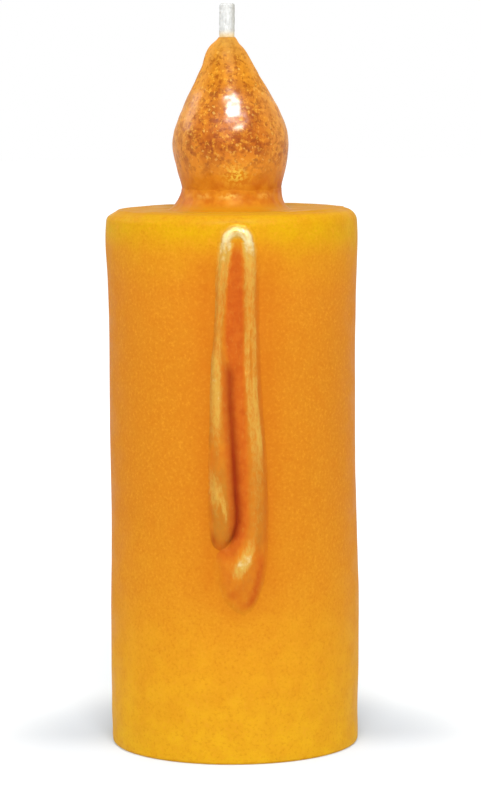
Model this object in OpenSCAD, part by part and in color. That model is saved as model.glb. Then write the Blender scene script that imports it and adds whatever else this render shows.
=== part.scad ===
// Unity candle: a three inch wax pillar with a wax flame on top, a relief of two gilded
// wax drips down its front, and one braided wick through the middle.
// Millimetres, +Z up. The origin is the centre of the base, and the front faces -Y.

/* [Pillar] */
// Diameter of the pillar
pillar_d = 76.2; // [70:0.1:82]
// Height of the pillar's flat top above the base
pillar_h = 166; // [150:1:200]
// Rounding of the pillar's top edge
shoulder_r = 3.7; // [2:0.1:6]
// Rounding of the pillar's bottom edge
foot_r = 1; // [0.5:0.1:2]

/* [Flame] */
// Height of the flame above the pillar's top
flame_h = 52.4; // [45:0.1:60]
// Diameter of the flame at its widest
flame_d = 35.4; // [32:0.1:40]
// Height of the widest point above the pillar's top
flame_widest = 20.4; // [17:0.1:24]
// Diameter of the neck just above the weld bead
neck_d = 30.6; // [30:0.1:31.8]
// Diameter of the tip where the wick leaves the flame
tip_d = 6; // [5.6:0.1:7]

/* [Wick] */
// Thickness of the primed wick
wick_d = 4.8; // [4:0.1:5.2]
// Length of wick that stands clear of the flame
wick_stub = 10.2; // [6:0.1:15]

/* [Drips] */
// Half width of the arch, between its middle and the middle of its bead
arch_r = 3.3; // [3:0.1:3.6]
// Half width of the arch's bead
bead_r = 1.5; // [1.3:0.1:1.6]
// Thickness of the film between the arch's legs
web_t = 0.6; // [0.3:0.1:0.9]

/* [Base] */
// Diameter of the wick sustainer's disc
sustainer_d = 31.8; // [26:0.1:38]
// Thickness of the sustainer's sheet
sheet_t = 0.4; // [0.3:0.05:0.6]
// Depth of the shrinkage well that the second pour fills
well_h = 16; // [12:0.5:24]

/* [Hidden] */
$fn = 96;
pillar_r = pillar_d / 2;
wick_r = wick_d / 2;
wick_top = pillar_h + flame_h + wick_stub;
// The sustainer is set this far up, so that the wax alone carries the candle
sustainer_lift = 0.3;
sustainer_neck_h = 6;
// The flame's foot, the bead round it and the spigot under it
foot_h = 4.6;
flame_foot_r = 14.6;
bead_foot_r = 19;
bead_bulge = 1.1;
spigot_r = 8;
spigot_h = 5;
// The shrinkage well narrows upwards
well_foot_r = 26;
well_top_r = 12;
// Steps of each flame curve
flame_steps = 12;
// Facets of the balls that the drips are drawn round, and of the wall that trims them
ball_fn = 24;
wall_fn = 360;
// The legs of the arch end and the drips begin this far below the pillar's top
leg_foot = -44;
// Where each run of wax passes: [x, height from the pillar's top, half width, thickness]
arch_x = 1.6;
arch_z = -8.2;
left_leg = [
    [arch_x - arch_r, arch_z, 1.5, 1.4],
    [-3.4, -26, 1.5, 1.2],
    [-4.5, -46, 1.7, 1.0]
];
right_leg = [
    [arch_x + arch_r, arch_z, 1.5, 1.4],
    [5.6, -26, 1.9, 1.2],
    [5.5, -46, 2.3, 1.1]
];
short_run = [
    [-4.4, -42, 2.4, 1.0],
    [-4.6, -60, 3.0, 1.3],
    [-3.6, -80, 4.0, 1.9],
    [-3.0, -96, 4.3, 2.2]
];
long_run = [
    [4.7, -42, 3.5, 1.1],
    [4.4, -58, 4.4, 1.4],
    [5.4, -78, 4.8, 1.7],
    [5.0, -94, 5.3, 1.9],
    [2.8, -112, 5.9, 2.1]
];

// Radius of the ball whose cap is 2 w wide and stands t proud of a flat wall
function ball_r(w, t) = (w * w + t * t) / (2 * t);

// A point this deep inside the pillar's front wall, x measured round the wall
function in_wall(x, z, depth) =
    let (a = x / pillar_r * 180 / PI, r = pillar_r - depth)
    [r * sin(a), -r * cos(a), pillar_h + z];

// The flame's radius below its widest point, u from 0 there to 1 at the neck
function flame_low_r(u) = flame_d / 2 - (flame_d - neck_d) / 2 * pow(u, 2);

// The flame's radius above its widest point, u from 0 there to 1 at the tip
function flame_high_r(u) = flame_d / 2 - (flame_d - tip_d) / 2 * pow(u, 1.4);

// Everything inside the pillar's wall, which trims what lies on it
module wall_core() {
    cylinder(r = pillar_r, h = pillar_h, $fn = wall_fn);
}

module wick_bore() {
    translate([0, 0, -1])
        cylinder(r = wick_r, h = wick_top + 2);
}

module shrinkage_well() {
    cylinder(r1 = well_foot_r, r2 = well_top_r, h = well_h);
}

// The pillar's outline, turned round the axis
module pillar_solid() {
    rotate_extrude()
        union() {
            square([pillar_r - foot_r, foot_r]);
            translate([0, foot_r])
                square([pillar_r, pillar_h - foot_r - shoulder_r]);
            square([pillar_r - shoulder_r, pillar_h]);
            intersection() {
                translate([pillar_r - foot_r, foot_r])
                    circle(r = foot_r);
                square([pillar_r, foot_r]);
            }
            intersection() {
                translate([pillar_r - shoulder_r, pillar_h - shoulder_r])
                    circle(r = shoulder_r);
                translate([0, pillar_h - shoulder_r])
                    square([pillar_r, shoulder_r]);
            }
        }
}

module pillar_body() {
    color("#E8962A")
        difference() {
            pillar_solid();
            shrinkage_well();
            wick_bore();
            translate([0, 0, pillar_h - spigot_h])
                cylinder(r = spigot_r, h = spigot_h + 1);
        }
}

module base_fill() {
    color("#E39A38")
        difference() {
            shrinkage_well();
            wick_bore();
            translate([0, 0, -1])
                cylinder(r = sustainer_d / 2, h = 1 + sustainer_lift + sheet_t);
            cylinder(r = wick_r + sheet_t, h = sustainer_lift + sustainer_neck_h);
        }
}

// A stamped disc with a neck crimped round the wick
module wick_sustainer() {
    color("silver")
        translate([0, 0, sustainer_lift])
            difference() {
                union() {
                    cylinder(r = sustainer_d / 2, h = sheet_t);
                    cylinder(r = wick_r + sheet_t, h = sustainer_neck_h);
                }
                wick_bore();
            }
}

module wick() {
    color("#F6F1E2")
        translate([0, 0, sustainer_lift])
            cylinder(r = wick_r, h = wick_top - sustainer_lift);
}

module flame_finial() {
    low = [
        for (i = [flame_steps:-1:1])
            let (u = i / flame_steps)
            [flame_low_r(u), flame_widest - (flame_widest - foot_h) * u]
    ];
    high = [
        for (i = [0:flame_steps])
            let (u = i / flame_steps)
            [flame_high_r(u), flame_widest + (flame_h - flame_widest) * u]
    ];
    color("#D9741C")
        translate([0, 0, pillar_h])
            difference() {
                union() {
                    rotate_extrude()
                        polygon(concat(
                            [[0, 0], [flame_foot_r, 0], [flame_foot_r, foot_h]],
                            low,
                            high,
                            [[0, flame_h]]
                        ));
                    translate([0, 0, -spigot_h])
                        cylinder(r = spigot_r, h = spigot_h);
                }
                translate([0, 0, -pillar_h])
                    wick_bore();
            }
}

// Wax run round the flame's foot: full at the pillar, thin at the neck
module weld_bead() {
    color("#E0922E")
        translate([0, 0, pillar_h])
            rotate_extrude()
                difference() {
                    union() {
                        polygon([
                            [flame_foot_r, 0],
                            [bead_foot_r - bead_bulge, 0],
                            [bead_foot_r - bead_bulge, 2 * bead_bulge],
                            [neck_d / 2, foot_h],
                            [flame_foot_r, foot_h]
                        ]);
                        translate([bead_foot_r - bead_bulge, bead_bulge])
                            circle(r = bead_bulge);
                    }
                    square([flame_foot_r, foot_h]);
                }
}

// Wax run along a list of points: balls sunk in the wall, joined in pairs
module wax_run(points) {
    for (i = [0:len(points) - 2])
        hull()
            for (p = [points[i], points[i + 1]])
                let (r = ball_r(p[2], p[3]))
                translate(in_wall(p[0], p[1], r - p[3]))
                    sphere(r = r, $fn = ball_fn);
}

// An outline on the front, in x and height from the pillar's top, driven through the wall
module front_prism() {
    translate([0, 0, pillar_h])
        rotate([90, 0, 0])
            linear_extrude(2 * pillar_r)
                children();
}

// The stretch of front above the foot of the arch's legs, which the arch has to itself
module arch_zone() {
    front_prism()
        translate([-pillar_r, leg_foot])
            square([pillar_d, -leg_foot]);
}

module arch_legs() {
    wax_run(left_leg);
    wax_run(right_leg);
}

module drip_arch() {
    color("#F0C878")
        difference() {
            intersection() {
                union() {
                    arch_legs();
                    rotate([0, 0, arch_x / pillar_r * 180 / PI])
                        translate([0, -pillar_r, pillar_h + arch_z])
                            rotate([90, 0, 0])
                                rotate_extrude(angle = 180)
                                    translate([arch_r, 0])
                                        circle(r = bead_r, $fn = 32);
                }
                arch_zone();
            }
            wall_core();
        }
}

module drip_web() {
    color("#D9662A")
        difference() {
            intersection() {
                cylinder(r = pillar_r + web_t, h = pillar_h, $fn = wall_fn);
                front_prism()
                    polygon([
                        [left_leg[0][0], arch_z],
                        [right_leg[0][0], arch_z],
                        [right_leg[1][0], right_leg[1][1]],
                        [right_leg[2][0], leg_foot],
                        [left_leg[2][0], leg_foot],
                        [left_leg[1][0], left_leg[1][1]]
                    ]);
            }
            wall_core();
            arch_legs();
        }
}

module short_drip() {
    color("#E29A3C")
        difference() {
            wax_run(short_run);
            arch_zone();
            wall_core();
        }
}

// The long drip laps against the short one, which set first
module long_drip() {
    color("#E58A2C")
        difference() {
            wax_run(long_run);
            wax_run(short_run);
            arch_zone();
            wall_core();
        }
}

pillar_body();
base_fill();
wick_sustainer();
wick();
flame_finial();
weld_bead();
drip_arch();
drip_web();
short_drip();
long_drip();
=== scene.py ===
"""Unity candle: the looks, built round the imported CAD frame.

Metres, +Z up, the origin at the centre of the base, the front facing -Y. Shapes are worked
out in millimetres and scaled as their meshes are made.
"""

import math

import bmesh
import bpy
import numpy as np
from mathutils import Matrix, Vector


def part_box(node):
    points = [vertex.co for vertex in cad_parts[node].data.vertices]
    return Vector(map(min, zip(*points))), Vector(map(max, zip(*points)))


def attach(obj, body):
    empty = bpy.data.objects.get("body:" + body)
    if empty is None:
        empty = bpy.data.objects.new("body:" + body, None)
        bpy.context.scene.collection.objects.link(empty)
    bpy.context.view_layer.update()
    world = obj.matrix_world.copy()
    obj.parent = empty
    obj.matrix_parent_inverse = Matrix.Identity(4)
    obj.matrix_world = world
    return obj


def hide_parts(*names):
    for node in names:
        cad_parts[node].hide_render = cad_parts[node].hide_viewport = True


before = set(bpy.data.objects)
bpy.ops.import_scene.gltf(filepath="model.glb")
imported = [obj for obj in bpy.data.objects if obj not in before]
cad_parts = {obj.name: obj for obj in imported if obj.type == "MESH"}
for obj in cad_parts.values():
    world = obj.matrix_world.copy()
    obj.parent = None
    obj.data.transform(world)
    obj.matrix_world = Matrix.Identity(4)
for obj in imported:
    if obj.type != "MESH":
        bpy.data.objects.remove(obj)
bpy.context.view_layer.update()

MM = 0.001
BODY = "root"


def node_box(node):
    """A CAD node's lowest and highest corners in millimetres."""
    low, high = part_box(node)
    return np.array(low) / MM, np.array(high) / MM


PILLAR_R = node_box("pillar_body")[1][0]
TOP = node_box("pillar_body")[1][2]
WELL_R = node_box("base_fill")[1][0]
WELL_H = node_box("base_fill")[1][2]
FLAME_TOP = node_box("flame_finial")[1][2] - TOP
SPIGOT_H = TOP - node_box("flame_finial")[0][2]
WICK_R = node_box("wick")[1][0]
WICK_LOW, WICK_TOP = node_box("wick")[0][2], node_box("wick")[1][2]
SUSTAINER_R = node_box("wick_sustainer")[1][0]
SUSTAINER_LOW = node_box("wick_sustainer")[0][2]
SUSTAINER_TOP = node_box("wick_sustainer")[1][2]
LEG_FOOT = TOP - node_box("short_drip")[1][2]
# Sizes of the CAD parts that their boxes don't show
FOOT_R, SHOULDER_R = 1.0, 3.7
SOCKET_R, WELL_TOP_R = 8.0, 12.0
SHEET = 0.4


# ---------------------------------------------------------------- shape helpers


def curve(*points):
    """A smooth function through (t, value) points, which never overshoots between them."""
    t, v = np.array(points, float).T
    slope = np.diff(v) / np.diff(t)
    tangent = np.zeros_like(v)
    same_way = slope[1:] * slope[:-1] > 0
    total = np.where(same_way, slope[1:] + slope[:-1], 1.0)
    tangent[1:-1] = np.where(same_way, 2 * slope[1:] * slope[:-1] / total, 0.0)
    tangent[0], tangent[-1] = slope[0], slope[-1]

    def at(x):
        x = np.clip(np.asarray(x, float), t[0], t[-1])
        i = np.clip(np.searchsorted(t, x, side="right") - 1, 0, len(t) - 2)
        h = t[i + 1] - t[i]
        s = (x - t[i]) / h
        start = (1 + 2 * s) * (1 - s) ** 2 * v[i] + s * (1 - s) ** 2 * h * tangent[i]
        end = s * s * (3 - 2 * s) * v[i + 1] + s * s * (s - 1) * h * tangent[i + 1]
        return start + end

    return at


def ease(low, high, x):
    """0 below low, 1 above high, smooth between."""
    s = np.clip((np.asarray(x, float) - low) / (high - low), 0, 1)
    return s * s * (3 - 2 * s)


def bell(x, width):
    """1 where x is 0, fading to nothing about two widths away on both sides."""
    return np.exp(-((x / width) ** 2))


def corner_value(ix, iy, iz, seed):
    """A fixed number from -1 to 1 for each corner of a lattice."""
    h = ix * 374761393 + iy * 668265263 + iz * 2147483647 + seed * 144665
    h = (h ^ (h >> 13)) * 1274126177 & 0x7FFFFFFF
    h = (h ^ (h >> 16)) * 2246822519 & 0x7FFFFFFF
    return (h & 0xFFFF) / 32767.5 - 1


def lumps(x, y, z, cell, seed):
    """Smooth noise from -1 to 1, whose lumps are about one cell across.

    Each use has a seed of its own, so that no two surfaces share their unevenness."""
    p = [np.asarray(a, float) / cell for a in np.broadcast_arrays(x, y, z)]
    low = [np.floor(a).astype(np.int64) for a in p]
    s = [a - b for a, b in zip(p, low)]
    s = [a * a * (3 - 2 * a) for a in s]
    total = 0.0
    for i in (0, 1):
        for j in (0, 1):
            for k in (0, 1):
                weight = 1.0
                for side, share in zip((i, j, k), s):
                    weight = weight * (share if side else 1 - share)
                total = total + weight * corner_value(low[0] + i, low[1] + j, low[2] + k, seed)
    return total


def grid_faces(rows, cols, wrap_rows, wrap_cols):
    """Quads over a grid of vertices numbered row by row."""
    r = np.arange(rows if wrap_rows else rows - 1)[:, None]
    c = np.arange(cols if wrap_cols else cols - 1)[None, :]
    r2, c2 = (r + 1) % rows, (c + 1) % cols
    quads = np.stack([r * cols + c, r * cols + c2, r2 * cols + c2, r2 * cols + c], -1)
    return quads.reshape(-1, 4)


def make_piece(name, points, faces, replaced, attributes=None):
    """A smooth-shaded mesh in the row frame that rides on the candle and stands for CAD nodes."""
    mesh = bpy.data.meshes.new(name)
    mesh.from_pydata((np.asarray(points) * MM).tolist(), [], np.asarray(faces).tolist())
    bm = bmesh.new()
    bm.from_mesh(mesh)
    bmesh.ops.recalc_face_normals(bm, faces=bm.faces)
    bm.to_mesh(mesh)
    bm.free()
    mesh.shade_smooth()
    piece = bpy.data.objects.new(name, mesh)
    bpy.context.scene.collection.objects.link(piece)
    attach(piece, BODY)
    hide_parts(*replaced)
    for key, values in (attributes or {}).items():
        add_share(piece, key, values)
    return piece


def add_share(piece, key, values):
    """A number for each vertex, from 0 to 1, that the material reads by its name."""
    layer = piece.data.attributes.new(key, "FLOAT", "POINT")
    layer.data.foreach_set("value", np.asarray(values, np.float32))


def turned(name, profile, around, replaced, shape):
    """A closed outline of (radius, height) points turned round the axis.

    shape(r, angle, z) moves the points: it returns their new r, how far they lean along x,
    and their new z."""
    r, z = np.array(profile, float).T
    angle = np.arange(around) / around * 2 * np.pi
    r, z, angle = r[:, None] + 0 * angle, z[:, None] + 0 * angle, angle[None, :] + 0 * r[:, None]
    r, lean, z = shape(r, angle, z)
    points = np.stack([r * np.sin(angle) + lean, -r * np.cos(angle), z], -1).reshape(-1, 3)
    faces = grid_faces(len(profile), around, True, True)
    return make_piece(name, points, faces, replaced)


def arc(cx, cy, radius, start, end, steps):
    """Points on an arc, with its angles in degrees."""
    angles = np.radians(np.linspace(start, end, steps))
    return [(cx + radius * math.cos(a), cy + radius * math.sin(a)) for a in angles]


# ---------------------------------------------------------------- materials

# noise() and cells() take the size of their features in millimetres. span() turns a stretch
# of noise or of height into a share, and each colour is mixed over the last by such a share.


class Finish:
    """A material with one Principled shader, and short ways to add the nodes that drive it."""

    def __init__(self, name, **constants):
        self.material = bpy.data.materials.new(name)
        self.material.use_nodes = True
        self.nodes = self.material.node_tree.nodes
        self.links = self.material.node_tree.links
        self.shader = self.nodes["Principled BSDF"]
        for socket, value in constants.items():
            self.shader.inputs[socket.replace("_", " ")].default_value = value
        self.place = self.nodes.new("ShaderNodeTexCoord").outputs["Object"]

    def add(self, kind, inputs=None, **settings):
        """A node whose inputs are given as constants or as other nodes' outputs."""
        node = self.nodes.new("ShaderNode" + kind)
        for key, value in settings.items():
            setattr(node, key, value)
        for key, value in (inputs or {}).items():
            if isinstance(value, bpy.types.NodeSocket):
                self.links.new(value, node.inputs[key])
            else:
                node.inputs[key].default_value = value
        return node

    def drive(self, socket, output):
        """Feed a node's output to one of the shader's sockets."""
        self.links.new(output, self.shader.inputs[socket])

    def noise(self, size_mm, detail=3.0, stretch=None, roughness=0.5):
        """Noise from 0 to 1 whose features are about size_mm across."""
        where = self.place
        if stretch:
            where = self.add("Mapping", {"Vector": where, "Scale": stretch}).outputs[0]
        scale = 1 / (size_mm * MM)
        inputs = {"Vector": where, "Scale": scale, "Detail": detail, "Roughness": roughness}
        return self.add("TexNoise", inputs).outputs["Fac"]

    def cells(self, size_mm):
        """Cells about size_mm across, each with three random numbers of its own."""
        inputs = {"Vector": self.place, "Scale": 1 / (size_mm * MM)}
        found = self.add("TexVoronoi", inputs, feature="F1").outputs["Color"]
        return self.add("SeparateColor", {0: found})

    def attribute(self, name):
        """A share that add_share() gave to the vertices."""
        return self.add("Attribute", attribute_name=name).outputs["Fac"]

    def axis(self, name):
        """The place along one axis, in metres."""
        return self.add("SeparateXYZ", {0: self.place}).outputs[name]

    def height(self):
        """Height in millimetres."""
        return self.times(self.axis("Z"), 1 / MM)

    def math(self, operation, a, b=0.0, c=0.0, clamp=False):
        inputs = {0: a, 1: b, 2: c}
        return self.add("Math", inputs, operation=operation, use_clamp=clamp).outputs[0]

    def times(self, a, b):
        return self.math("MULTIPLY", a, b)

    def span(self, value, low, high, to_low=0.0, to_high=1.0):
        """value from low..high becomes to_low..to_high, held at the ends."""
        inputs = {0: value, 1: low, 2: high, 3: to_low, 4: to_high}
        return self.add("MapRange", inputs, interpolation_type="SMOOTHSTEP").outputs[0]

    def mix(self, share, a, b):
        """Colour a where share is 0 and b where it is 1."""
        node = self.add("Mix", {0: share}, data_type="RGBA", blend_type="MIX")
        for key, value in ((6, a), (7, b)):
            if isinstance(value, bpy.types.NodeSocket):
                self.links.new(value, node.inputs[key])
            else:
                node.inputs[key].default_value = (*value, 1.0)
        return node.outputs[2]

    def ramp(self, value, stops):
        """A colour ramp through (position, colour) stops."""
        node = self.add("ValToRGB", {0: value})
        ends = node.color_ramp.elements
        while len(ends) < len(stops):
            ends.new(0.5)
        for end, (position, colour) in zip(ends, stops):
            end.position = position
            end.color = (*colour, 1.0)
        return node.outputs["Color"]

    def bump(self, height, strength, distance_mm, below=None):
        """A normal bent by height, over another bump if there is one below."""
        inputs = {"Strength": strength, "Distance": distance_mm * MM, "Height": height}
        if below is not None:
            inputs["Normal"] = below
        return self.add("Bump", inputs).outputs["Normal"]


def screen(r, g, b):
    """A colour given as it looks on a screen, 0 to 255, made linear."""
    shares = (r / 255, g / 255, b / 255)
    return tuple(c / 12.92 if c <= 0.04045 else ((c + 0.055) / 1.055) ** 2.4 for c in shares)


# Colours are given as they look on the candle's front. The light there adds up to more than
# a material's own colour, and its gloss adds a little white, so both are taken off again.
LIGHT = 0.70
GLOSS = 0.008

WAX = dict(
    Subsurface_Weight=0.12,
    Subsurface_Radius=(1.0, 0.45, 0.12),
    Subsurface_Scale=2.0 * MM,
    Specular_IOR_Level=0.022,
)


def lit(r, g, b):
    """The base colour of a surface that is to look like this on the candle's front."""
    return tuple(max((c - GLOSS) * LIGHT, 0.002) for c in screen(r, g, b))


def pillar_colour(finish):
    """Yellow at the rim and foot, orange between, mottled as hand-dyed wax is, with painted shade
    on the top face and round the drips.
    """
    drift = finish.math("MULTIPLY_ADD", finish.noise(28, 2.0), 14.0, -7.0)
    level = finish.math("ADD", finish.height(), drift)
    share = finish.math("DIVIDE", level, TOP, clamp=True)
    bands = finish.ramp(
        share,
        [
            (0.0, lit(250, 190, 41)),
            (0.16, lit(243, 173, 41)),
            (0.30, lit(233, 154, 41)),
            (0.46, lit(226, 143, 40)),
            (0.72, lit(223, 140, 40)),
            (0.86, lit(226, 142, 40)),
            (0.93, lit(230, 155, 38)),
            (0.975, lit(228, 175, 20)),
            (1.0, lit(228, 169, 30)),
        ],
    )
    patches = finish.span(finish.noise(6, 4.0, roughness=0.65), 0.32, 0.68)
    mottled = finish.mix(finish.times(patches, 0.3), bands, lit(220, 126, 34))
    grain = finish.noise(0.9, 4.0, roughness=0.65)
    light = finish.times(finish.span(grain, 0.5, 0.72), 0.55)
    mottled = finish.mix(light, mottled, lit(246, 168, 52))
    shade = finish.times(finish.span(grain, 0.5, 0.3), 0.36)
    mottled = finish.mix(shade, mottled, lit(208, 116, 30))
    # painted shade: the top face is darker than the rim below it
    top = finish.span(finish.height(), TOP - 0.9, TOP - 0.1)
    mottled = finish.mix(finish.times(top, 0.6), mottled, lit(216, 148, 42))
    # painted shade: the wall darkens to red-brown round the drips
    return finish.mix(finish.attribute("painted_shade_round_drips"), mottled, lit(204, 98, 28))


def wax_surface(finish, rough_low, rough_high):
    """Satin wax: roughness in soft patches and a fine hand-rubbed grain."""
    finish.drive("Roughness", finish.span(finish.noise(7, 3.0), 0.3, 0.7, rough_low, rough_high))
    grain = finish.noise(0.5, 2.0)
    soft = finish.bump(finish.noise(5, 2.0), 0.25, 0.35)
    finish.drive("Normal", finish.bump(grain, 0.12, 0.1, soft))


def pillar_finish():
    """The column's satin wax."""
    finish = Finish("pillar_wax", **WAX)
    finish.drive("Base Color", pillar_colour(finish))
    wax_surface(finish, 0.42, 0.56)
    return finish.material


def relief_finish(name):
    """Drip wax: red-orange where it is thin, with painted shade in the creases and along the edges,
    and gold rubbed on the ridges with painted highlights.
    """
    finish = Finish(name, **WAX)
    patches = finish.span(finish.noise(3, 4.0, roughness=0.6), 0.3, 0.7)
    drip = finish.mix(patches, lit(230, 138, 41), lit(219, 121, 38))
    colour = finish.mix(finish.attribute("drip"), pillar_colour(finish), drip)
    brush = finish.noise(0.8, 5.0, stretch=(1, 1, 0.4), roughness=0.7)
    stain = finish.times(finish.attribute("tan"), finish.span(brush, 0.2, 0.75, 0.45, 1.0))
    colour = finish.mix(stain, colour, lit(193, 124, 45))
    depth = finish.span(finish.noise(2.2, 3.0), 0.3, 0.7)
    glaze = finish.mix(depth, lit(203, 92, 33), lit(215, 108, 38))
    # the red film between the runs, and painted shade in red along the edges, under the short
    # drip's tip and round the bulb
    colour = finish.mix(finish.attribute("red_and_shade"), colour, glaze)
    missed = finish.math("MULTIPLY_ADD", brush, 1.6, -0.8)
    gilt = finish.span(finish.math("ADD", finish.attribute("gold"), missed), 0.0, 1.1)
    colour = finish.mix(gilt, colour, lit(224, 176, 80))
    # painted highlight: the thickest gold is lightened to a pale shine
    gold_highlight = finish.math("MULTIPLY_ADD", finish.noise(2.4, 3.0, roughness=0.6), 1.0, -0.5)
    gold_highlight = finish.span(finish.math("ADD", finish.attribute("gold"), gold_highlight), 0.75, 1.25)
    colour = finish.mix(gold_highlight, colour, lit(250, 230, 172))
    # painted shade, dark red-brown, in the crease between the drips and by the short drip's tip
    colour = finish.mix(finish.attribute("crease_shade"), colour, lit(150, 34, 24))
    finish.drive("Base Color", colour)
    finish.drive("Metallic", finish.times(gilt, 0.2))
    finish.drive("Roughness", finish.span(gilt, 0.0, 1.0, 0.5, 0.38))
    streaks = finish.bump(brush, 0.6, 0.35)
    finish.drive("Normal", finish.bump(finish.noise(0.45, 3.0), 0.3, 0.15, streaks))
    return finish.material


def amber(finish):
    """The clouded orange wax of the flame's foot and the bead round it."""
    clouds = finish.span(finish.noise(4, 4.0, roughness=0.6), 0.32, 0.68)
    return finish.mix(clouds, lit(212, 116, 34), lit(232, 146, 42))


def flame_finish():
    """Glossy amber wax clouded with brown, and full of gold and bronze glitter, with painted light
    on its sides and a painted highlight low on the front.
    """
    finish = Finish(
        "flame_wax",
        Subsurface_Weight=0.08,
        Subsurface_Radius=(1.0, 0.4, 0.1),
        Subsurface_Scale=2.0 * MM,
        Specular_IOR_Level=0.015,
        Coat_Roughness=0.21,
    )
    climb = finish.span(finish.height(), TOP, TOP + FLAME_TOP)
    climb.node.interpolation_type = "LINEAR"
    body = finish.ramp(
        climb,
        [
            (0.08, lit(238, 150, 40)),
            (0.26, lit(238, 149, 40)),
            (0.38, lit(210, 116, 33)),
            (0.55, lit(207, 118, 34)),
            (0.68, lit(213, 129, 38)),
            (0.84, lit(212, 134, 42)),
            (0.97, lit(217, 156, 68)),
        ],
    )
    foot = finish.span(finish.height(), TOP + 13, TOP + 7)
    body = finish.mix(foot, body, amber(finish))
    # painted light: the flame's sides are lightened, for the light and pale reflection on them
    painted_flank_light = finish.attribute("painted_flank_light")
    body = finish.mix(finish.times(painted_flank_light, 0.75), body, lit(246, 170, 72))
    # what clouds the wax starts above the foot, and thins out to the sides and the tip
    up = finish.span(finish.height(), TOP + 7, TOP + 19)
    up = finish.times(up, finish.math("MULTIPLY_ADD", painted_flank_light, -0.4, 1.0))
    tip = finish.span(finish.height(), TOP + FLAME_TOP, TOP + FLAME_TOP - 9, 0.3, 1.0)
    up = finish.times(up, tip)
    murk = finish.times(finish.span(finish.noise(7.0, 4.0, roughness=0.6), 0.56, 0.36), 0.6)
    middle = finish.span(finish.height(), TOP + 42, TOP + 30)
    murk = finish.times(murk, middle)
    body = finish.mix(finish.times(murk, up), body, lit(160, 74, 22))
    for size, low, high, strength, colour in (
        (2.9, 0.50, 0.37, 0.65, lit(154, 72, 20)),
        (2.2, 0.52, 0.64, 0.55, lit(238, 158, 48)),
        (1.3, 0.47, 0.34, 0.6, lit(140, 62, 20)),
        (1.2, 0.56, 0.68, 0.6, lit(246, 178, 62)),
    ):
        drops = finish.span(finish.noise(size, 2.5, roughness=0.6), low, high)
        drops = finish.times(drops, strength)
        body = finish.mix(finish.times(drops, up), body, colour)
    cell = finish.cells(0.7)
    flake = finish.times(finish.span(cell.outputs["Green"], 0.95, 0.99), up)
    body = finish.mix(finish.times(flake, 0.55), body, lit(248, 196, 92))
    # painted highlight: glitter lit up bright gold in a patch on the front
    glitter = finish.span(finish.noise(1.0, 3.0), 0.45, 0.6)
    painted_glint = finish.times(glitter, finish.attribute("painted_glint"))
    body = finish.mix(painted_glint, body, lit(255, 214, 80))
    finish.drive("Base Color", body)
    # the lacquer is thin at the foot and worn off near the tip
    gloss = finish.span(finish.height(), TOP + 5, TOP + 14, 0.04, 0.26)
    worn = finish.span(finish.height(), TOP + 34, TOP + 38, 1.0, 0.0)
    finish.drive("Coat Weight", finish.times(gloss, worn))
    finish.drive("Roughness", finish.span(finish.noise(2, 3.0), 0.3, 0.7, 0.35, 0.5))
    flakes = finish.bump(cell.outputs["Blue"], 0.2, 0.12)
    finish.drive("Normal", finish.bump(finish.noise(2.2, 4.0), 0.3, 0.4, flakes))
    return finish.material


def bead_finish():
    """The flame's amber wax, yellower where it thins out over the pillar, with golden glares
    painted on as highlights.
    """
    look = {**WAX, "Specular_IOR_Level": 0.06, "Specular_Tint": (1.0, 0.72, 0.2, 1.0)}
    finish = Finish("bead_wax", **look)
    low = finish.span(finish.height(), TOP + 2.6, TOP + 0.4)
    wax = finish.mix(low, amber(finish), lit(221, 145, 36))
    # painted highlight: golden glares on the front
    glitter = finish.span(finish.noise(1.3, 3.0), 0.35, 0.6)
    glare = finish.times(glitter, finish.attribute("painted_glint"))
    finish.drive("Base Color", finish.mix(glare, wax, lit(250, 200, 96)))
    wax_surface(finish, 0.32, 0.46)
    return finish.material


def wick_finish():
    """White cotton sealed with wax, stained by the flame's wax at its foot, and with painted shade
    on its right side.
    """
    finish = Finish(
        "wick_cotton",
        Subsurface_Weight=0.2,
        Subsurface_Radius=(1.0, 0.9, 0.8),
        Subsurface_Scale=0.8 * MM,
        Specular_IOR_Level=0.35,
    )
    threads = finish.noise(0.35, 3.0, stretch=(1, 1, 0.25))
    cotton = finish.mix(finish.span(threads, 0.3, 0.7), (0.44, 0.435, 0.42), (0.57, 0.57, 0.55))
    # painted shade: the wick's right side is darker
    right = finish.span(finish.axis("X"), -0.6 * MM, WICK_R * MM)
    cotton = finish.mix(right, cotton, (0.31, 0.30, 0.245))
    foot = finish.span(finish.height(), TOP + FLAME_TOP + 2.6, TOP + FLAME_TOP - 0.4)
    finish.drive("Base Color", finish.mix(foot, cotton, lit(240, 206, 140)))
    finish.drive("Roughness", finish.span(threads, 0.3, 0.7, 0.45, 0.65))
    finish.drive("Normal", finish.bump(threads, 0.4, 0.12))
    return finish.material


def steel_finish():
    """Bright rolled sheet, streaked one way."""
    finish = Finish("sustainer_steel", Metallic=1.0)
    rolled = finish.noise(0.25, 3.0, stretch=(0.08, 1, 1))
    finish.drive("Base Color", finish.mix(rolled, (0.55, 0.55, 0.53), (0.72, 0.72, 0.70)))
    finish.drive("Roughness", finish.span(rolled, 0.2, 0.8, 0.24, 0.42))
    finish.drive("Normal", finish.bump(rolled, 0.2, 0.05))
    return finish.material


def fill_finish():
    """Second-pour wax: duller, with the fine ripples of a surface left to set."""
    finish = Finish("fill_wax", **WAX)
    ripples = finish.noise(3, 4.0)
    finish.drive("Base Color", finish.mix(ripples, lit(214, 136, 48), lit(238, 172, 70)))
    finish.drive("Roughness", finish.span(ripples, 0.3, 0.7, 0.5, 0.68))
    finish.drive("Normal", finish.bump(ripples, 0.4, 0.3))
    return finish.material


# ---------------------------------------------------------------- pillar

# How far the hand-finished wall stands off a true cylinder, by height
wall_swell = curve(
    (0, -0.1), (12, 0.1), (25, 0.35), (44, 0.3), (56, 0.1), (75, -0.15), (92, -0.25),
    (118, -0.2), (138, 0.05), (150, 0.42), (158, 0.68), (163, 0.5), (166, 0.3),
)


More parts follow.
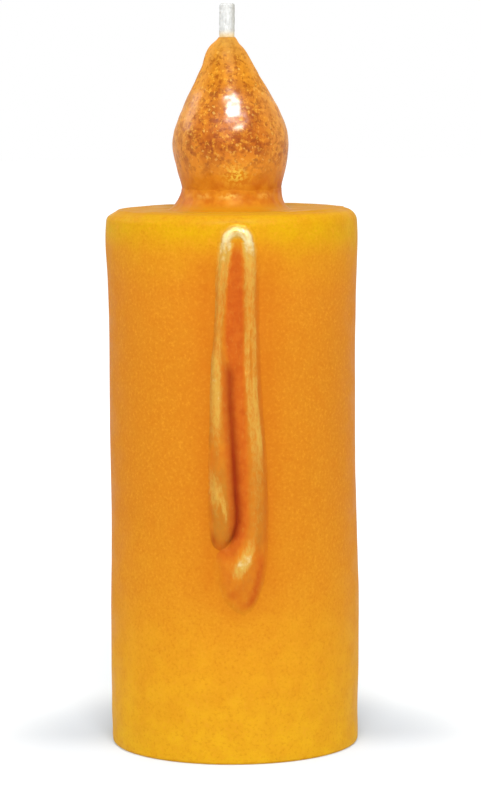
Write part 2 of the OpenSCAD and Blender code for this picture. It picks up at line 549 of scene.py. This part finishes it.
def wall_radius(angle, z):
    """The pillar's wall, with its swell and the soft unevenness of hand-dipped wax."""
    x, y = 30 * np.sin(angle), 30 * np.cos(angle)
    uneven = 0.14 * lumps(x, y, z, 24, 1) + 0.05 * lumps(x, y, z, 7, 2)
    # each side is fuller at heights of its own
    left = 0.4 * bell(z - 100, 28) + 0.2 * bell(z - 154, 8)
    left = left + 0.4 * bell(z - 9, 8) + 0.3 * bell(z - 1.5, 2.5)
    left = np.maximum(-np.sin(angle), 0) * left
    right = 0.5 * bell(z - 48, 20) + 0.35 * bell(z - 2, 6)
    right = np.maximum(np.sin(angle), 0) * right
    return PILLAR_R + wall_swell(z) + uneven + left + right


def make_pillar():
    """The column, with its well, wick bore and socket, and a top that set unevenly."""
    wall_high = TOP - SHOULDER_R
    profile = [(r, 0.0) for r in np.linspace(WELL_R, PILLAR_R - FOOT_R, 8)]
    profile += arc(PILLAR_R - FOOT_R, FOOT_R, FOOT_R, -80, 0, 6)
    profile += [(PILLAR_R, z) for z in np.linspace(FOOT_R, wall_high, 150)[1:-1]]
    profile += arc(PILLAR_R - SHOULDER_R, wall_high, SHOULDER_R, 0, 90, 16)
    profile += [(r, TOP) for r in np.linspace(PILLAR_R - SHOULDER_R, SOCKET_R, 24)[1:]]
    profile += [(SOCKET_R, TOP - SPIGOT_H), (WICK_R, TOP - SPIGOT_H)]
    profile += [(WICK_R, WELL_H), (WELL_TOP_R, WELL_H)]

    def shape(r, angle, z):
        outside = ease(WELL_R + 4, PILLAR_R - 4, r)
        moved = r + outside * (wall_radius(angle, z) - PILLAR_R)
        # the shoulder's left side is rounder
        worn = 1.1 * outside * bell(z - (TOP - 0.7), 1.0)
        moved = moved - worn * np.maximum(-np.sin(angle), 0)
        x, y = r * np.sin(angle), r * np.cos(angle)
        top_face = (z > TOP - 0.01) & (r > SOCKET_R + 1)
        pour = 0.16 * lumps(x, y, 0, 11, 3) + 0.07 * lumps(x, y, 0, 4, 4)
        rim = 0.35 * bell(r - (PILLAR_R - 5), 3.0) * (1 + 1.2 * np.minimum(np.sin(angle), 0))
        dish = 0.25 * ease(PILLAR_R - 4, 22, r)
        lift = np.where(top_face, pour + rim - dish, 0.0)
        edge = ease(PILLAR_R - 1, PILLAR_R - 4, r) * (z > TOP - 1.5)
        return moved, 0.0, z + np.where(top_face, lift * edge, 0.0)

    piece = turned("pillar_column", profile, 360, ["pillar_body"], shape)
    x, y, z = np.array([v.co for v in piece.data.vertices]).T / MM
    # painted shade on the wall round the drips
    add_share(piece, "painted_shade_round_drips", painted_shade_round_drips(np.arctan2(x, -y) * PILLAR_R, TOP - z))
    piece.data.materials.append(pillar_finish())


# ---------------------------------------------------------------- flame and weld bead

# Radius of the flame by height above the pillar's top
flame_radius = curve(
    (0, 14.6), (4.6, 15.05), (6.6, 15.2), (8.4, 15.5), (12.1, 16.4), (15.8, 17.1),
    (19.8, 17.42), (23.1, 17.05), (26.8, 15.95), (30.5, 14.4), (34.1, 12.7), (37.8, 10.8),
    (41.5, 8.85), (45.1, 7.1), (48.4, 5.5), (50.3, 4.3), (51.7, 3.1), (52.6, 2.45),
)
# How far the flame leans along x, negative to the left, by height above the pillar's top
flame_lean = curve((10, 0), (20, -0.35), (30, -0.45), (42, -0.7), (47, -0.75), (53, -1.15))


def make_flame():
    """The flame with its spigot: its own outline, lean and lumpy hand-finished surface."""
    heights = np.concatenate([np.linspace(0, 48, 120), np.linspace(48.3, FLAME_TOP, 18)])
    profile = [(WICK_R, -SPIGOT_H), (SOCKET_R, -SPIGOT_H), (SOCKET_R, 0.0)]
    profile += [(float(flame_radius(h)), h) for h in heights]
    profile += [(WICK_R, FLAME_TOP - 0.3)]

    def shape(r, angle, z):
        x, y = r * np.sin(angle), r * np.cos(angle)
        body = ease(3, 8, z) * ease(3.5, 8, r)
        rough = 0.15 * lumps(x, y, z, 8, 11) + 0.11 * lumps(x, y, z, 3.4, 12)
        rough = rough + 0.05 * lumps(x, y, z, 1.5, 13)
        # the left side is fullest a little lower than the right
        side = np.sin(angle)
        right = np.maximum(side, 0)
        full = 0.2 - 0.1 * bell(z - 18, 9) * side + 0.65 * bell(z - 26, 12) * right
        tip = bell(z - 48, 4) * (0.35 - 0.6 * side) - 0.5 * bell(z - 51, 1.6) * right
        tip = tip * ease(2.4, 4.6, r)
        return r + body * (rough + full) + tip, flame_lean(z), z + TOP

    piece = turned("flame_body", profile, 240, ["flame_finial"], shape)
    x, y, z = np.array([v.co for v in piece.data.vertices]).T / MM
    around = np.abs(np.sin(np.arctan2(x - flame_lean(z - TOP), -y)))
    # painted light on the flame's sides
    add_share(piece, "painted_flank_light", ease(0.5, 0.95, around) * ease(12, 22, z - TOP))
    # painted highlight: a patch of glitter lit up bright gold low on the front
    patch = bell(np.hypot((x - 1.4) / 3.2, (z - TOP - 11.0) / 2.4), 1)
    add_share(piece, "painted_glint", patch * (y < 0))
    piece.data.materials.append(flame_finish())


def make_bead():
    """The fillet of wax run round the flame's foot, smoothed down on to the pillar's top."""
    outer = [
        (19.3, -0.35), (18.7, -0.05), (18.1, 0.3), (17.5, 0.8), (17.0, 1.5), (16.5, 2.3),
        (16.05, 3.2), (15.75, 4.1), (15.5, 5.0), (15.4, 5.8), (15.3, 6.3), (14.7, 6.5),
    ]
    bead_low, bead_high, inner_r = outer[0][1], 6.3, 14.2
    r, z = np.array(outer).T
    steps = np.linspace(0, len(outer) - 1, 44)
    index = np.arange(len(outer))
    r_at = curve(*zip(index, r))
    z_at = curve(*zip(index, z))
    smooth = [(float(r_at(s)), float(z_at(s))) for s in steps]
    profile = [(inner_r, bead_low), *smooth, (inner_r, bead_high)]

    def shape(r, angle, z):
        x, y = 17 * np.sin(angle), 17 * np.cos(angle)
        seen = r > inner_r + 0.3
        foot = ease(6.5, 0.5, z) * seen
        runs = 0.5 * lumps(x, y, 0, 7, 21) + 0.22 * lumps(x, y, 0, 3, 22) - 0.45 * np.sin(angle)
        ripple = 0.1 * lumps(x, y, z, 1.6, 24) * seen
        wave = 0.5 * lumps(x, y, 0, 6, 23) * ease(1.0, 5.5, z)
        return r + foot * runs + ripple, 0.0, TOP + z + wave

    piece = turned("bead_ring", profile, 240, ["weld_bead"], shape)
    x, y, z = np.array([v.co for v in piece.data.vertices]).T / MM
    # painted highlights: golden glares on the bead's front: (x, half width, strength) of each place
    glares = [
        strength * bell(np.hypot((x - at) / half, (z - TOP - 4.4) / 0.8), 1)
        for at, half, strength in ((-0.9, 2.6, 0.9), (-8.4, 2.0, 0.5), (9.8, 2.0, 0.5))
    ]
    add_share(piece, "painted_glint", np.maximum.reduce(glares) * (y < 0))
    piece.data.materials.append(bead_finish())


# ---------------------------------------------------------------- drip relief

# All of the relief is given by x round the wall from the front's middle, and by distance
# down from the pillar's top. Each side has an outer edge, an inner edge and a crest. A height
# or share that belongs to one place fades by ease() along down or away from such an edge.
left_outer = curve(
    (8.2, -3.1), (12, -3.6), (17, -4.3), (26, -5.0), (37.5, -5.7), (44, -6.4), (55, -6.9),
    (66, -7.3), (75, -7.7), (85, -7.8), (92, -7.6), (96, -7.2), (98.3, -6.6), (99.7, -5.8),
    (100.6, -4.2),
)
left_inner = curve(
    (8.2, -0.1), (12, -0.7), (17, -1.3), (26, -2.0), (37.5, -2.4), (44, -1.5), (49, -0.8),
    (55, -0.75), (67, -0.1), (76.5, 0.35), (85.5, 0.85), (89, 1.1), (92.2, 1.0), (94.5, 0.5),
    (96.5, -0.2), (98.2, -1.3), (99.7, -2.6), (100.6, -4.2),
)
left_crest = curve(
    (8.2, -1.6), (12, -2.2), (17, -2.8), (26, -3.5), (37.6, -4.2), (44, -4.8), (60, -5.0),
    (75, -4.7), (90, -3.7), (96, -3.9), (100.6, -4.2),
)
right_inner = curve(
    (8.2, 3.4), (17, 3.6), (26, 3.6), (37.5, 3.0), (44, 1.6), (49, 0.1), (55, -0.75),
    (67, -0.1), (76.5, 0.35), (85.5, 0.85), (89, 1.1), (92.2, 1.0), (94.5, 0.5), (96.5, -0.2),
    (98.2, -1.3), (99.7, -2.6), (100.6, -4.2), (102.2, -5.2), (106, -5.4), (110, -5.0),
    (113.5, -3.9), (116.5, -2.4), (119, 0.0), (120.3, 3.0),
)
right_crest = curve(
    (8.2, 4.9), (12, 5.2), (26, 5.4), (44, 5.4), (60, 6.0), (70, 6.7), (80, 7.1), (90, 6.9),
    (98, 5.3), (104, 3.4), (112, 2.8), (120.3, 3.0),
)
right_outer = curve(
    (8.2, 6.5), (12, 7.2), (17, 7.7), (26, 8.0), (40, 8.3), (55, 9.0), (70, 10.0), (78, 10.4),
    (86, 10.6), (96, 10.5), (104, 10.1), (109, 9.4), (113, 8.3), (116, 7.1), (118.5, 5.4),
    (120.3, 3.0),
)
# How far to the right the red film reaches
red_right = curve(
    (8.2, 3.2), (26, 3.4), (45, 3.4), (55, 3.6), (65, 4.0), (77, 4.3), (90, 4.3), (96, 3.5),
    (100, 1.6), (105, -0.6),
)
# How far each run's crest stands off the wall
left_thick = curve(
    (8.2, 1.5), (16, 1.1), (30, 0.95), (44, 1.0), (60, 1.15), (75, 1.6), (88, 2.0), (100, 2.0),
)
right_thick = curve(
    (8.2, 1.5), (16, 1.15), (30, 1.0), (44, 1.1), (60, 1.35), (75, 1.6), (90, 1.8), (104, 2.1),
    (118, 2.2),
)
# The arch's bead ends and its legs begin at ARCH_DOWN, and the film between them ends at FILM_END
ARCH_DOWN = 8.2
ARCH_X = (float(left_crest(ARCH_DOWN)) + float(right_crest(ARCH_DOWN))) / 2
ARCH_R = (float(right_crest(ARCH_DOWN)) - float(left_crest(ARCH_DOWN))) / 2
BEAD_R = (float(left_inner(ARCH_DOWN)) - float(left_outer(ARCH_DOWN))) / 2
SHORT_END, LONG_END = 100.6, 120.3
GROOVE_START, FILM_END = 42.0, 60.0

# Strokes of rubbed gold: (down, x, half width, strength) along each
GILDING = [
    [(8.2, -1.6, 2.0, 1.08), (12, -2.1, 1.9, 0.86), (17, -2.7, 1.7, 0.6), (30, -3.8, 1.4, 0.42),
     (37, -4.2, 1.2, 0.36), (44, -4.9, 1.6, 0.6), (52, -5.0, 1.7, 0.68), (60, -5.1, 1.7, 0.6),
     (65, -5.1, 1.6, 0.4), (71, -4.9, 1.3, 0.12), (76, -4.4, 1.0, 0.0)],
    [(72, -6.9, 0.6, 0.0), (76, -6.6, 0.8, 0.25), (79, -6.1, 1.2, 0.5), (82.3, -5.6, 1.5, 0.65),
     (86.2, -5.3, 1.4, 0.42), (90, -5.0, 1.0, 0.12), (93, -4.6, 0.7, 0.0)],
    [(77, -4.9, 0.6, 0.1), (82.3, -3.9, 0.9, 0.45), (86.2, -3.0, 0.8, 0.6), (89.8, -2.3, 0.6, 0.5),
     (92.5, -2.0, 0.5, 0.0)],
    [(8.2, 4.9, 2.0, 1.08), (12, 5.2, 1.9, 0.88), (17, 5.3, 1.8, 0.65), (26, 5.3, 1.6, 0.45),
     (31, 4.9, 1.2, 0.4), (37, 4.3, 0.8, 0.48), (45, 4.2, 0.85, 0.48), (52, 4.8, 1.0, 0.45),
     (60, 5.6, 1.3, 0.5), (68, 6.2, 1.4, 0.5), (78, 6.7, 1.4, 0.25), (94, 6.4, 1.1, 0.15),
     (99, 5.6, 0.9, 0.0)],
    [(26, 6.0, 0.7, 0.2), (31, 6.2, 0.8, 0.42), (37, 6.35, 0.85, 0.5), (45, 6.4, 0.8, 0.45),
     (52, 6.5, 0.85, 0.58), (60, 7.0, 0.95, 0.6), (68, 7.7, 1.0, 0.72), (73, 8.0, 0.9, 0.45),
     (80, 8.1, 0.8, 0.2), (92, 7.9, 0.7, 0.12), (96, 7.5, 0.6, 0.0)],
    [(94.5, 5.6, 0.7, 0.15), (97, 5.3, 1.1, 0.35), (100, 4.5, 1.6, 0.6), (102.5, 3.6, 1.9, 0.8),
     (104.5, 2.7, 2.1, 0.88), (106.5, 1.7, 1.9, 0.8), (108.5, 0.9, 1.4, 0.4), (110, 0.4, 1.0, 0.0)],
]


def stroke(x, down, points):
    """How much gold one stroke leaves at each place."""
    along = [curve(*((p[0], p[i]) for p in points)) for i in (1, 2, 3)]
    centre, half, strength = (f(down) for f in along)
    inside = ease(1.5, 0.5, np.abs(x - centre) / half)
    return strength * inside * (down >= points[0][0]) * (down <= points[-1][0])


def run_height(x, inner, outer, crest, thick, soft):
    """A run of wax across its width: highest at its crest and 0 at both edges.

    soft is how gently the inner and the outer side meet the wall, from 0.75, steep, to 1.6,
    feathered."""
    inside = (x - crest) * (inner - crest) > 0
    reach = np.maximum(np.where(inside, np.abs(inner - crest), np.abs(outer - crest)), 0.05)
    q = np.abs(x - crest) / reach
    power = np.where(inside, soft[0], soft[1])
    return np.where(q < 1, thick * (1 - np.minimum(q, 1) ** 2) ** power, -0.35 * (q - 1) * reach)


def blended_max(a, b, k):
    """The higher of two heights, with the crease between them filled over a width of k."""
    h = np.maximum(k - np.abs(a - b), 0) / k
    return np.maximum(a, b) + h * h * k / 4


def rounded_end(down, end, length):
    """From 1 along a run to 0 at its rounded end."""
    left = np.clip((end - down) / length, 0, 1)
    return (left * (2 - left)) ** 1.4


def painted_shade_round_drips(x, down):
    """How far painted shade darkens the wall to red-brown along the drips' edges and round their
    ends, over a broad red-brown tint round them, with no hard edge.
    """
    right = 0.42 * bell(x - right_outer(down) + 0.3, 1.5) * ease(6, 16, down) * ease(118, 108, down)
    left = 0.36 * bell(x - left_outer(down) - 0.2, 1.7) * ease(12, 24, down) * ease(101, 96, down)
    bulb = np.hypot((x - 2.6) / 8.0, (down - 109) / 12.5)
    round_bulb = 0.28 * bell(bulb - 0.85, 0.32) * ease(96, 104, down)
    round_tip = 0.4 * bell(np.hypot(x + 5.2, down - 100.5), 3.6)
    broad = np.minimum(0.32, 0.79 * bell(x - 1.5, 10.3))
    broad = broad * ease(5, 16, down) * ease(128, 108, down)
    return np.maximum.reduce([right, left, round_bulb, round_tip, broad])


def arch_ring(x, down):
    """How far across the arch's bead a place lies, 0 at its crest and 1 at its edges, and how
    far it is from the arch's centre."""
    rise = np.minimum(down - ARCH_DOWN, 0)
    radial = np.hypot(x - ARCH_X, rise)
    # the bead is broadest at the arch's top
    upright = np.abs(rise) / np.maximum(radial, 0.01)
    outer = ARCH_R + BEAD_R + 0.4 * upright
    inner = ARCH_R - BEAD_R - 0.45 * upright
    return np.abs(radial - (outer + inner) / 2) / (outer - inner) * 2, radial


def run_heights(x, down):
    """Heights of the left and the right run, with the arch's bead in place of both above them."""
    left = run_height(
        x, left_inner(down), left_outer(down), left_crest(down),
        left_thick(down) * rounded_end(down, SHORT_END, 5),
        (1.1 - 0.35 * ease(44, 60, down), 1.6),
    )
    right = run_height(
        x, right_inner(down), right_outer(down), right_crest(down),
        right_thick(down) * rounded_end(down, LONG_END, 11),
        (0.95 + 0.65 * ease(97, 103, down), 1.4 + 0.2 * ease(99, 108, down)),
    )
    left = np.where(down < SHORT_END, left, -1.0)
    right = np.where(down < LONG_END, right, -1.0)
    q = arch_ring(x, down)[0]
    bead = np.where(q < 1, 1.5 * (1 - np.minimum(q, 1) ** 2) ** 1.15, -0.35 * (q - 1) * BEAD_R)
    above = down < ARCH_DOWN
    return np.where(above, bead, left), np.where(above, bead, right)


def film_height(x, down):
    """The thin film between the legs, which ends where they close on each other."""
    between_legs = np.minimum(x - left_crest(down), right_crest(down) - x)
    between = np.where(down < ARCH_DOWN, ARCH_R - arch_ring(x, down)[1], between_legs)
    film = np.where(between > 0, 0.5 * ease(0.5, 1.7, between) * ease(56, 44, down), -0.3)
    return film - 1.5 * ease(54, 58, down)


def gold_share(x, wavy_x, down):
    """Rubbed gold: all over the arch's bead, and in strokes below it."""
    strokes = np.maximum.reduce([stroke(x, down, points) for points in GILDING])
    q = arch_ring(wavy_x, down)[0]
    return np.where(down < ARCH_DOWN, 1.08 * ease(1.5, 0.5, q), strokes)


def red_and_shade_share(x, down, gold):
    """Red-orange: between the runs and down the slope to the groove, with painted shade in the same
    red along the outer edges, under the short drip's tip and round the bulb's right side.
    """
    groove_x, outer_x = left_inner(down), right_outer(down)
    red_and_shade = ease(7, 13, down) * ease(107, 98, down) * (0.85 + 0.15 * bell(down - 28, 14))
    red_and_shade = red_and_shade * ease(-0.5, 1.1, x - groove_x) * ease(-1.0, 1.0, red_right(down) - x)
    runs = ease(14, 26, down)
    # painted shade in red along the outer edges
    rim = 0.35 * runs * bell(x - outer_x + 0.9, 0.9) * ease(112, 104, down)
    edge = 0.15 * runs * bell(x - left_outer(down) - 0.9, 0.8)
    slope = 0.62 * ease(-3.2, -1.7, x - groove_x) * (x < groove_x + 0.5)
    slope = slope * ease(41, 47, down) * ease(98, 93, down)
    # painted shade under the short drip's tip and round the bulb's right side, and red low on the
    # bulb
    tip_shade = 0.75 * bell(np.hypot(x + 3.4, down - 100.8), 3.0)
    shade = 0.85 * ease(99, 104, down) * ease(119.5, 116, down) * bell(x - outer_x + 2.1, 1.5)
    ember = 0.4 * bell(np.hypot((x + 0.8) / 1.6, (down - 114) / 1.6), 1)
    red_and_shade = np.maximum.reduce([red_and_shade, rim, edge, slope, tip_shade, shade, ember])
    return np.clip(red_and_shade * (1 - 0.8 * np.minimum(gold, 1)), 0, 1)


def tan_share(x, down):
    """Where worn gold has left the wax tan: on both runs, and more so low down."""
    groove_x = left_inner(down)
    low = ease(66, 82, down) * ease(101, 96, down) * (x < groove_x)
    low = low * ease(left_outer(down) + 0.4, left_outer(down) + 2.4, x)
    middle = 0.7 * ease(62, 68, down) * ease(88, 78, down) * bell(x - left_crest(down), 1.2)
    olive = 0.95 * ease(58, 70, down) * ease(104, 95, down) * bell(x - 7.3, 1.6)
    leg = 0.6 * ease(12, 20, down) * ease(72, 66, down)
    leg = leg * ease(-1.2, 0, x - left_outer(down)) * ease(0.2, -1.2, x - groove_x)
    bulb = 0.35 * bell(np.hypot((x - 3) / 3.2, (down - 109) / 5), 1)
    right = 0.6 * ease(13, 22, down) * ease(102, 94, down)
    right = right * ease(-0.6, 0.6, x - red_right(down)) * ease(0.2, 1.2, right_outer(down) - x)
    return np.clip(np.maximum.reduce([0.95 * low, middle, 0.95 * olive, leg, bulb, right]), 0, 1)


def crease_shade_share(x, down):
    """Painted shade: dark in the crease between the drips, and by the short drip's tip."""
    groove_x = left_inner(down)
    crease = np.where(x < groove_x, bell(x - groove_x, 1.3), bell(x - groove_x, 1.4))
    depth = ease(GROOVE_START, 48, down) * ease(SHORT_END, SHORT_END - 5, down)
    crease_shade = depth * crease * (0.66 + 0.13 * ease(60, 76, down))
    tip = 0.4 * bell(down - 97.4, 2.0) * bell(x + 6.0, 1.0)
    return np.clip(np.maximum(crease_shade, tip), 0, 0.85)


def relief(x, down):
    """Height of the relief off the wall, and the shares of what colours it."""
    # the edges and the surface both wander a little, as wax does
    wander = 0.14 * lumps(x, 0, down, 3.5, 31) + 0.07 * lumps(x, 0, down, 1.4, 32)
    wavy_x = x + 0.8 * wander
    gold = gold_share(x, wavy_x, down)
    side = np.maximum(*run_heights(wavy_x, down))
    on_run = ease(0.05, 0.4, side)
    height = side + on_run * (0.2 * np.minimum(gold, 1) * ease(10, 20, down) + wander)
    film = film_height(wavy_x, down)
    height = blended_max(height, film, 0.45 + 0.8 * ease(26, 14, down))
    # nothing between the outer edges sinks into the wall
    inside = (x > left_outer(down) + 0.6) & (x < right_outer(down) - 0.6)
    inside &= (down > ARCH_DOWN) & (down < SHORT_END - 1)
    height = np.where(inside, np.maximum(height, 0.1), height)
    shares = {
        "gold": gold,
        # the red film, and painted shade in red
        "red_and_shade": red_and_shade_share(x, down, gold),
        "tan": tan_share(x, down),
        # painted shade in the crease and by the short drip's tip
        "crease_shade": crease_shade_share(x, down),
        "drip": ease(0.05, 0.9, height) * ease(4, 12, down),
        # painted shade on the wall round the drips
        "painted_shade_round_drips": painted_shade_round_drips(x, down),
    }
    return height, shares


def make_relief():
    """One height field over the wall, parted into the pieces that the drips are made of."""
    left_end, right_end, step_x = -9.0, 11.6, 0.13
    top_end, low_end, step_down = 2.4, 121.4, 0.25
    sunk = 0.9
    xs = np.arange(left_end, right_end, step_x)
    downs = np.arange(top_end, low_end, step_down)
    x, down = np.meshgrid(xs, downs)
    height, shares = relief(x, down)
    z = TOP - down
    angle = x / PILLAR_R
    wall = wall_radius(angle, z)
    face = grid_faces(len(downs), len(xs), False, False)
    shares = {key: value.ravel() for key, value in shares.items()}
    tops = height.ravel()[face].max(1) > 0
    mid_x = x.ravel()[face].mean(1)
    mid_down = down.ravel()[face].mean(1)
    film = (mid_x > left_inner(mid_down)) & (mid_x < right_inner(mid_down))
    film &= (mid_down > ARCH_DOWN) & (mid_down < FILM_END)
    from_centre = np.hypot(mid_x - ARCH_X, mid_down - ARCH_DOWN)
    inside_arch = from_centre < ARCH_R - BEAD_R - 0.3
    film |= inside_arch & (mid_down <= ARCH_DOWN)
    upper = mid_down < LEG_FOOT
    left = (mid_x <= left_inner(mid_down)) & (mid_down < SHORT_END)
    parts = [
        ("web_relief", film, "web_wax", "drip_web"),
        ("arch_relief", ~film & upper, "gilded_wax", "drip_arch"),
        ("short_relief", ~film & ~upper & left, "drip_wax", "short_drip"),
        ("long_relief", ~film & ~upper & ~left, "drip_wax", "long_drip"),
    ]

    def on_wall(radius):
        return np.stack([radius * np.sin(angle), -radius * np.cos(angle), z], -1).reshape(-1, 3)

    front, back = on_wall(wall + height), on_wall(wall - sunk)
    for name, chosen, slot, node in parts:
        quads = face[chosen & tops]
        used, packed = np.unique(quads, return_inverse=True)
        quads = packed.reshape(-1, 4)
        count = len(used)
        edges = open_edges(quads)
        a, b = edges.T
        sides = np.stack([b, a, a + count, b + count], -1)
        points = np.concatenate([front[used], back[used]])
        faces = np.concatenate([quads, quads[:, ::-1] + count, sides])
        attributes = {key: np.tile(value[used], 2) for key, value in shares.items()}
        piece = make_piece(name, points, faces, [node], attributes)
        # the front keeps its own shading right up to its edge
        borders = {(min(pair), max(pair)) for pair in edges.tolist()}
        on_border = [tuple(sorted(e.vertices)) in borders for e in piece.data.edges]
        sharp = piece.data.attributes.new("sharp_edge", "BOOLEAN", "EDGE")
        sharp.data.foreach_set("value", on_border)
        piece.data.materials.append(relief_finish(name))


def open_edges(quads):
    """The edges, as pairs of vertices, that only one quad of a sheet uses."""
    edges = np.concatenate([quads[:, [i, (i + 1) % 4]] for i in range(4)])
    _, first, uses = np.unique(np.sort(edges), axis=0, return_index=True, return_counts=True)
    return edges[first[uses == 1]]


# ---------------------------------------------------------------- wick and sustainer


def make_wick():
    """A tubular braid sealed with wax: eight strands that pass over and under each other."""
    strands_each_way, pitch, end_round = 4, 6.2, 0.5
    shown = TOP + FLAME_TOP - 3
    hidden = np.linspace(WICK_LOW, shown - 2, 12)
    heights = np.concatenate([hidden, np.linspace(shown, WICK_TOP - end_round, 150)])
    cap = arc(WICK_R - end_round, WICK_TOP - end_round, end_round, 15, 90, 6)
    profile = [(0.02, WICK_LOW), *((WICK_R - 0.05, h) for h in heights), *cap]
    profile += [(r, WICK_TOP) for r in np.linspace(WICK_R - 0.7, 0.02, 6)]

    def shape(r, angle, z):
        turn = strands_each_way * angle / (2 * np.pi)
        climb = strands_each_way * (z - WICK_LOW) / pitch / 2
        one, other = turn + climb, turn - climb
        over = np.cos(np.pi * one) * np.cos(np.pi * other) > 0
        strand = np.where(over, np.abs(np.cos(np.pi * one)), np.abs(np.cos(np.pi * other)))
        x, y = r * np.sin(angle), r * np.cos(angle)
        relief_mm = 0.16 * (np.sqrt(strand) - 0.8) + 0.05 * lumps(x, y, z, 0.7, 41)
        skin = ease(WICK_R - 0.8, WICK_R - 0.3, r) * ease(shown - 1, shown + 1, z)
        end = 0.18 * lumps(x, y, 0, 0.8, 42) * (z > WICK_TOP - 0.2)
        lean = flame_lean(z - TOP) + 0.15 * ease(TOP + FLAME_TOP, WICK_TOP, z)
        return np.minimum(r + skin * relief_mm, WICK_R + 0.1), lean, z + end - 0.05

    piece = turned("wick_braid", profile, 160, ["wick"], shape)
    piece.data.materials.append(wick_finish())


def make_sustainer():
    """A stamped disc with a rolled rim, a pressed ring and a neck crimped round the wick."""
    low, neck_r, half = SUSTAINER_LOW, WICK_R + SHEET, SHEET / 2
    ring_r, ring_h = SUSTAINER_R * 0.62, 0.22
    crimps, crimp_z, crimp_depth = 4, low + 3.6, 0.12
    radii = np.linspace(WICK_R, SUSTAINER_R - half, 60)
    under = [(r, low + ring_h * float(bell(r - ring_r, 1.2))) for r in radii]
    rim = arc(SUSTAINER_R - half, low + half, half, -90, 90, 8)
    over = [(r, z + SHEET) for r, z in reversed(under) if r > neck_r + 0.3]
    neck = [(neck_r + 0.08, low + SHEET + 0.2)]
    neck += [(neck_r, z) for z in np.linspace(low + SHEET + 0.5, SUSTAINER_TOP - 0.1, 20)]
    neck += [(neck_r - 0.1, SUSTAINER_TOP), (WICK_R, SUSTAINER_TOP - 0.05)]

    def shape(r, angle, z):
        crimp = crimp_depth * np.maximum(np.cos(crimps * angle), 0) * bell(z - crimp_z, 0.7)
        on_neck = (r > WICK_R + 0.1) & (r < neck_r + 0.2)
        return r - crimp * on_neck, 0.0, z

    profile = under + rim[1:] + over + neck
    piece = turned("sustainer_disc", profile, 96, ["wick_sustainer"], shape)
    piece.data.materials.append(steel_finish())


# ---------------------------------------------------------------- stage, light and camera


def make_stage():
    """A white floor with a painted shadow beside the candle, and a white room round it."""
    mesh = bpy.data.meshes.new("floor")
    reach = 6.0
    corners = [(-reach, -reach, 0), (reach, -reach, 0), (reach, reach, 0), (-reach, reach, 0)]
    mesh.from_pydata(corners, [], [(0, 1, 2, 3)])
    floor = bpy.data.objects.new("floor", mesh)
    bpy.context.scene.collection.objects.link(floor)
    finish = Finish("pale_floor", Roughness=0.9, Specular_IOR_Level=0.0)
    # painted shadow: the floor is darker beside the candle, and a little cooler there, which evens
    # out the candle's orange glow on it
    length = finish.add("VectorMath", {0: finish.place}, operation="LENGTH")
    away = length.outputs["Value"]
    paper = finish.mix(finish.noise(60, 2.0), (0.73, 0.765, 0.78), (0.75, 0.785, 0.80))
    shadow_beside = finish.span(away, 0.04, 0.088)
    finish.drive("Base Color", finish.mix(shadow_beside, (0.57, 0.625, 0.68), paper))
    # the lamps' light falls off over the floor, and this keeps its far side as white
    finish.shader.inputs["Emission Color"].default_value = (1, 1, 1, 1)
    near = finish.span(away, 0.055, 0.10, 0.0, 0.14)
    far = finish.span(away, 0.10, 0.7, 0.0, 0.2)
    # painted light: the floor glows close in front of the candle, so the ground is white right up
    # to it in front and shaded only at its sides
    front = finish.span(finish.axis("Y"), 0.012, -0.022)
    close = finish.span(away, 0.088, 0.034, 0.0, 0.24)
    glow = finish.math("MULTIPLY_ADD", front, close, near)
    finish.drive("Emission Strength", finish.math("ADD", glow, far))
    mesh.materials.append(finish.material)

    world = bpy.data.worlds.new("studio")
    bpy.context.scene.world = world
    world.use_nodes = True
    world.node_tree.nodes["Background"].inputs["Color"].default_value = (1, 1, 1, 1)
    world.node_tree.nodes["Background"].inputs["Strength"].default_value = 1.0
    bpy.context.scene.view_settings.view_transform = "Standard"


def soft_light(name, azimuth, elevation, distance, size, power, gloss_only=False):
    """A softbox aimed at the candle. Azimuth 0 is the front, and positive is the right."""
    light = bpy.data.lights.new(name, "AREA")
    light.shape = "RECTANGLE"
    light.size, light.size_y = size
    light.energy = power
    lamp = bpy.data.objects.new(name, light)
    bpy.context.scene.collection.objects.link(lamp)
    a, e = math.radians(azimuth), math.radians(elevation)
    aim = Vector((0, 0, 0.15))
    lamp.location = aim + distance * Vector(
        (math.sin(a) * math.cos(e), -math.cos(a) * math.cos(e), math.sin(e))
    )
    lamp.rotation_euler = (aim - lamp.location).to_track_quat("-Z", "Y").to_euler()
    lamp.visible_camera = False
    lamp.visible_diffuse = not gloss_only


def make_lights():
    """One soft key from the front, a little fill, and two sheens that only the gloss shows."""
    soft_light("key", 2, 43, 1.1, (0.4, 0.4), 8.4)
    soft_light("key_gloss", 7, 47.5, 1.1, (0.5, 0.2), 50, gloss_only=True)
    soft_light("side_gloss", -112, 31, 1.1, (0.5, 0.5), 4.5, gloss_only=True)
    soft_light("left_box", -30, 34, 1.2, (0.6, 0.6), 0.5)


def make_camera():
    """A long lens at the flame's height that looks a little down, fitted to the outline of the
    candle's base, rim and axis."""
    distance, height, side = 0.950, 0.2095, 0.0023
    pitch, roll = math.radians(6.178), math.radians(-0.38)
    data = bpy.data.cameras.new("camera")
    data.lens = 138.7
    data.sensor_width = 36
    camera = bpy.data.objects.new("camera", data)
    bpy.context.scene.collection.objects.link(camera)
    turn = Matrix.Rotation(math.pi / 2 - pitch, 4, "X") @ Matrix.Rotation(roll, 4, "Z")
    camera.matrix_world = Matrix.Translation((side, -distance, height)) @ turn
    bpy.context.scene.camera = camera


make_camera()
make_stage()
make_lights()
make_pillar()
make_flame()
make_bead()
make_relief()
make_wick()
make_sustainer()
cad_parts["base_fill"].data.materials.clear()
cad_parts["base_fill"].data.materials.append(fill_finish())
